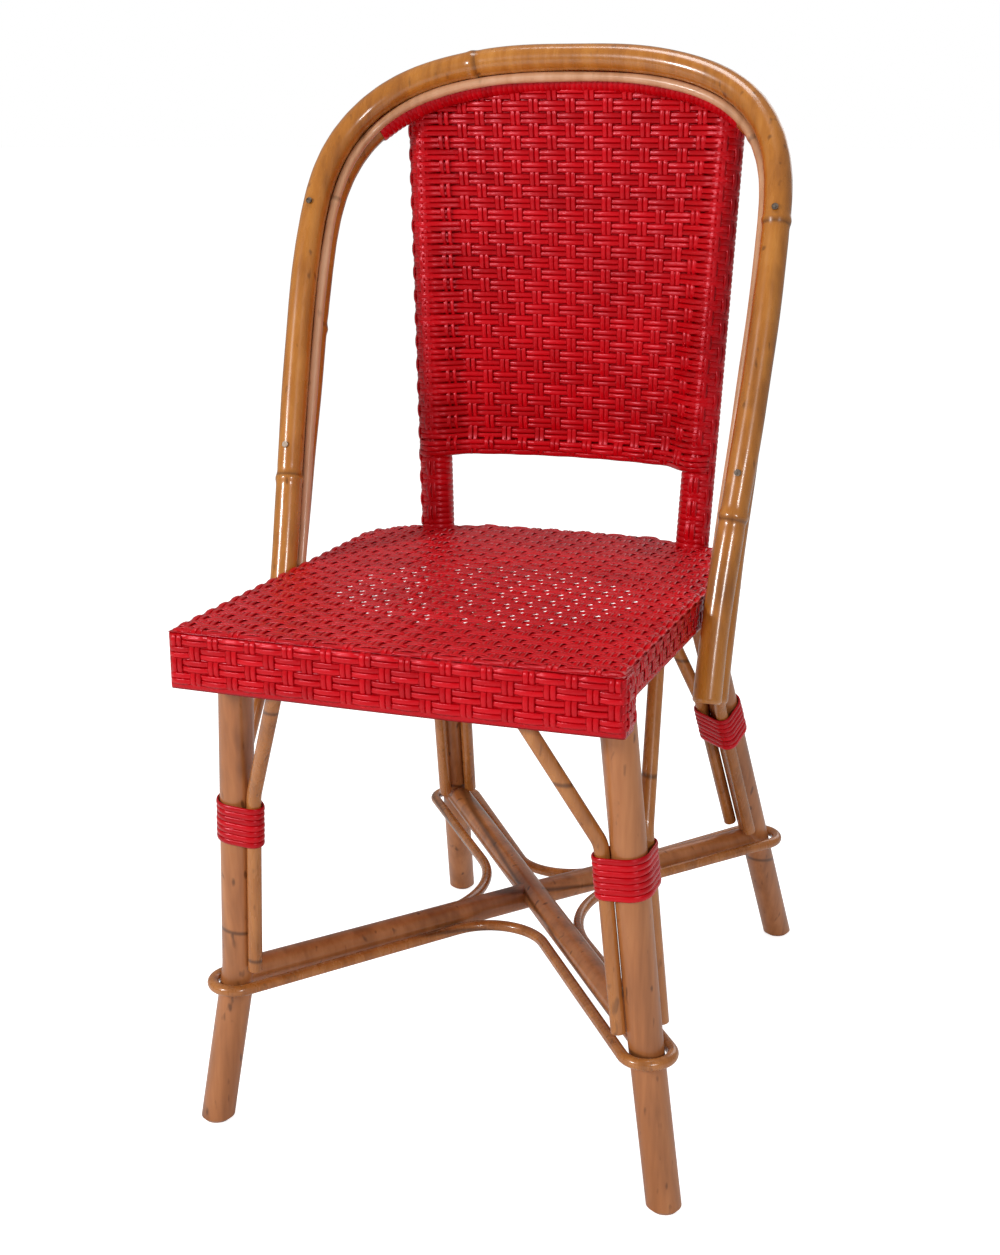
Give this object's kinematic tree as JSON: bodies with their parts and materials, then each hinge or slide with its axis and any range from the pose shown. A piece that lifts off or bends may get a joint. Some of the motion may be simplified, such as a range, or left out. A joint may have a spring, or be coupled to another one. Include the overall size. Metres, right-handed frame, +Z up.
{
  "type": "cane side chair",
  "caption": "Cane bistro side chair with a bent hoop back, woven strand seat and back panel, bound splayed legs, diagonal braces and crossed stretchers.",
  "frame": {"origin": "middle of the chair's overall box, on the floor", "axes": "+Z up, the front of the seat faces -Y, +X to the right of someone who looks at the chair's front"},
  "size_m": [0.4336, 0.6108, 0.8852],
  "materials": {
    "hoop_cane": "glossy varnish",
    "pale_cane": "satin varnish",
    "leg_cane": "satin varnish",
    "brace_cane": "satin varnish",
    "red_strand": "satin",
    "nail_steel": "dull"
  },
  "bodies": {
    "root": {"outer_hoop": "hoop_cane", "inner_hoop": "hoop_cane", "hoop_liner_cane": "pale_cane", "arch_binding": "red_strand", "nail_heads": "nail_steel", "seat_front_rail_upper": "leg_cane", "seat_front_rail_lower": "leg_cane", "seat_rail": "leg_cane", "seat_weave_top": "red_strand", "seat_front_band": "red_strand", "seat_edge_band": "red_strand", "back_weave": "red_strand", "back_lower_rail": "leg_cane", "stretcher_through": "leg_cane", "stretcher_half_front_left": "leg_cane", "stretcher_half_rear_right": "leg_cane", "bow_cane_front": "brace_cane", "bow_cane_right": "brace_cane", "bow_cane_rear": "brace_cane", "bow_cane_left": "brace_cane", "front_leg_right": "leg_cane", "rear_leg_right": "leg_cane", "stile_binding_right": "red_strand", "front_leg_binding_right": "red_strand", "rear_leg_binding_right": "red_strand", "front_leg_front_brace_right": "brace_cane", "front_leg_side_brace_right": "brace_cane", "rear_leg_back_brace_right": "brace_cane", "rear_leg_side_brace_right": "brace_cane", "front_leg_left": "leg_cane", "rear_leg_left": "leg_cane", "stile_binding_left": "red_strand", "front_leg_binding_left": "red_strand", "rear_leg_binding_left": "red_strand", "front_leg_front_brace_left": "brace_cane", "front_leg_side_brace_left": "brace_cane", "rear_leg_back_brace_left": "brace_cane", "rear_leg_side_brace_left": "brace_cane"}
  },
  "joints": []
}
